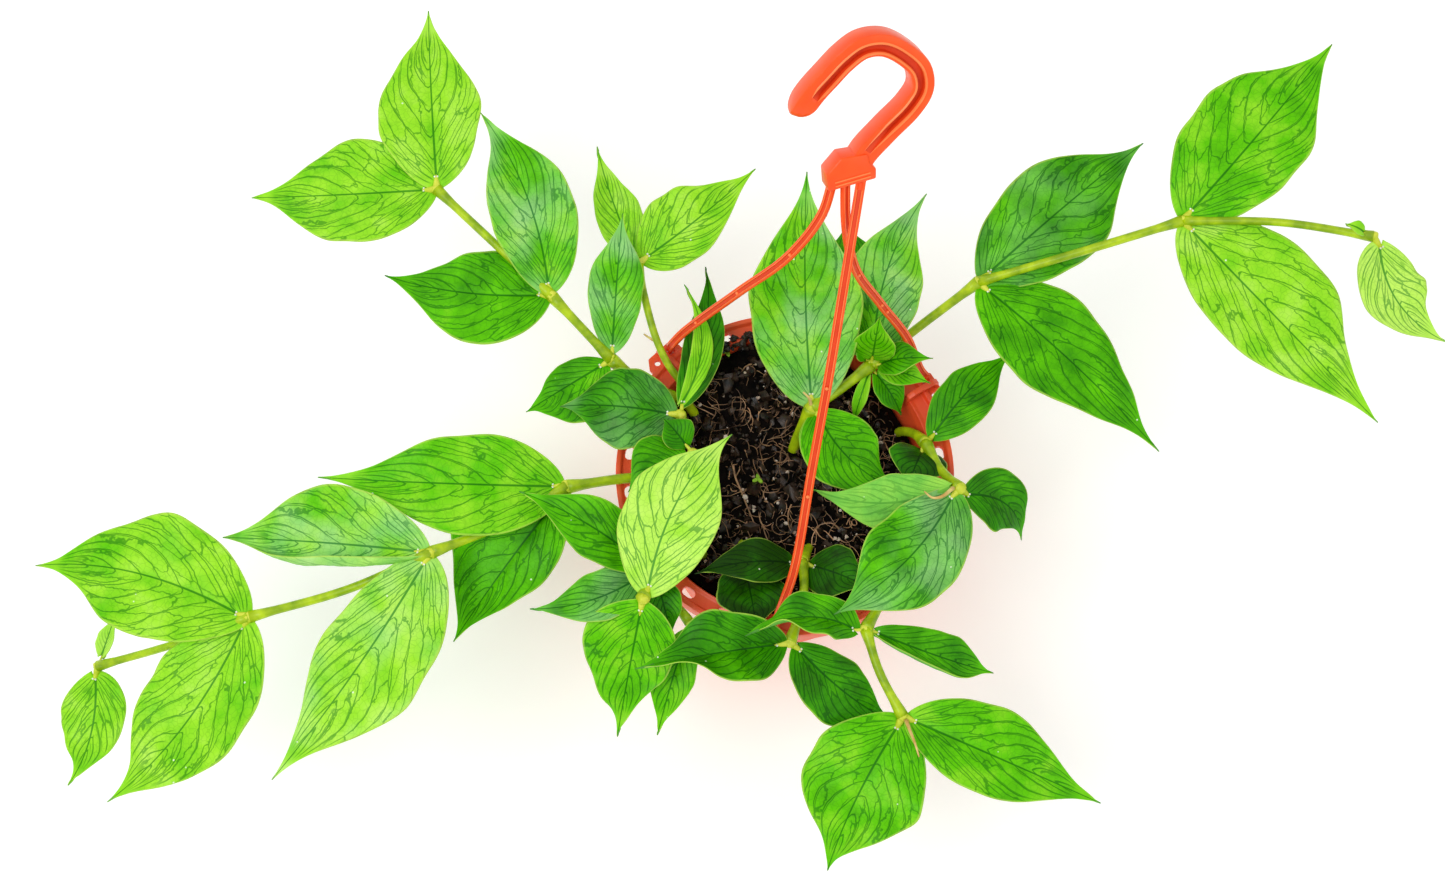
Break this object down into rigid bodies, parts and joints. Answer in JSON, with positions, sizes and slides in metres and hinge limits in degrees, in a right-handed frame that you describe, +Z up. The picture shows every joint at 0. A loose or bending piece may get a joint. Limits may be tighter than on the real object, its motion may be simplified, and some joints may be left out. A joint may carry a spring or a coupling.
{
  "type": "potted climbing plant with hanger",
  "caption": "Potted fishtail hoya with long leafy climbing stems, in a plastic hanging pot with slotted rim, soil and a clip-on hanger with strands and a hook.",
  "frame": {"origin": "centre of the flat underside of the pot, on the surface it stands on", "axes": "+Z up, +X to the plant's right as pictured, towards its longest stem on that side, and +Y away from the viewer"},
  "size_m": [0.5555, 0.3565, 0.2764],
  "materials": {
    "pot_plastic": "moulded plastic, half gloss",
    "hanger_plastic": "moulded plastic, half gloss",
    "soil": "moist coarse potting mix, matt",
    "foliage": "waxy leaves with sunken darker veins and pale margins"
  },
  "bodies": {
    "root": {"pot": "pot_plastic", "hanger": "hanger_plastic", "soil": "soil", "stem_left_long": "foliage", "stem_top_left": "foliage", "stem_top_middle": "foliage", "stem_rim_left": "foliage", "stem_centre_short": "foliage", "stem_centre_left": "foliage", "stem_front": "foliage", "stem_front_right": "foliage", "stem_right_short": "foliage", "stem_right_long": "foliage", "stem_front_fan": "foliage", "stem_front_corner": "foliage"}
  },
  "joints": []
}
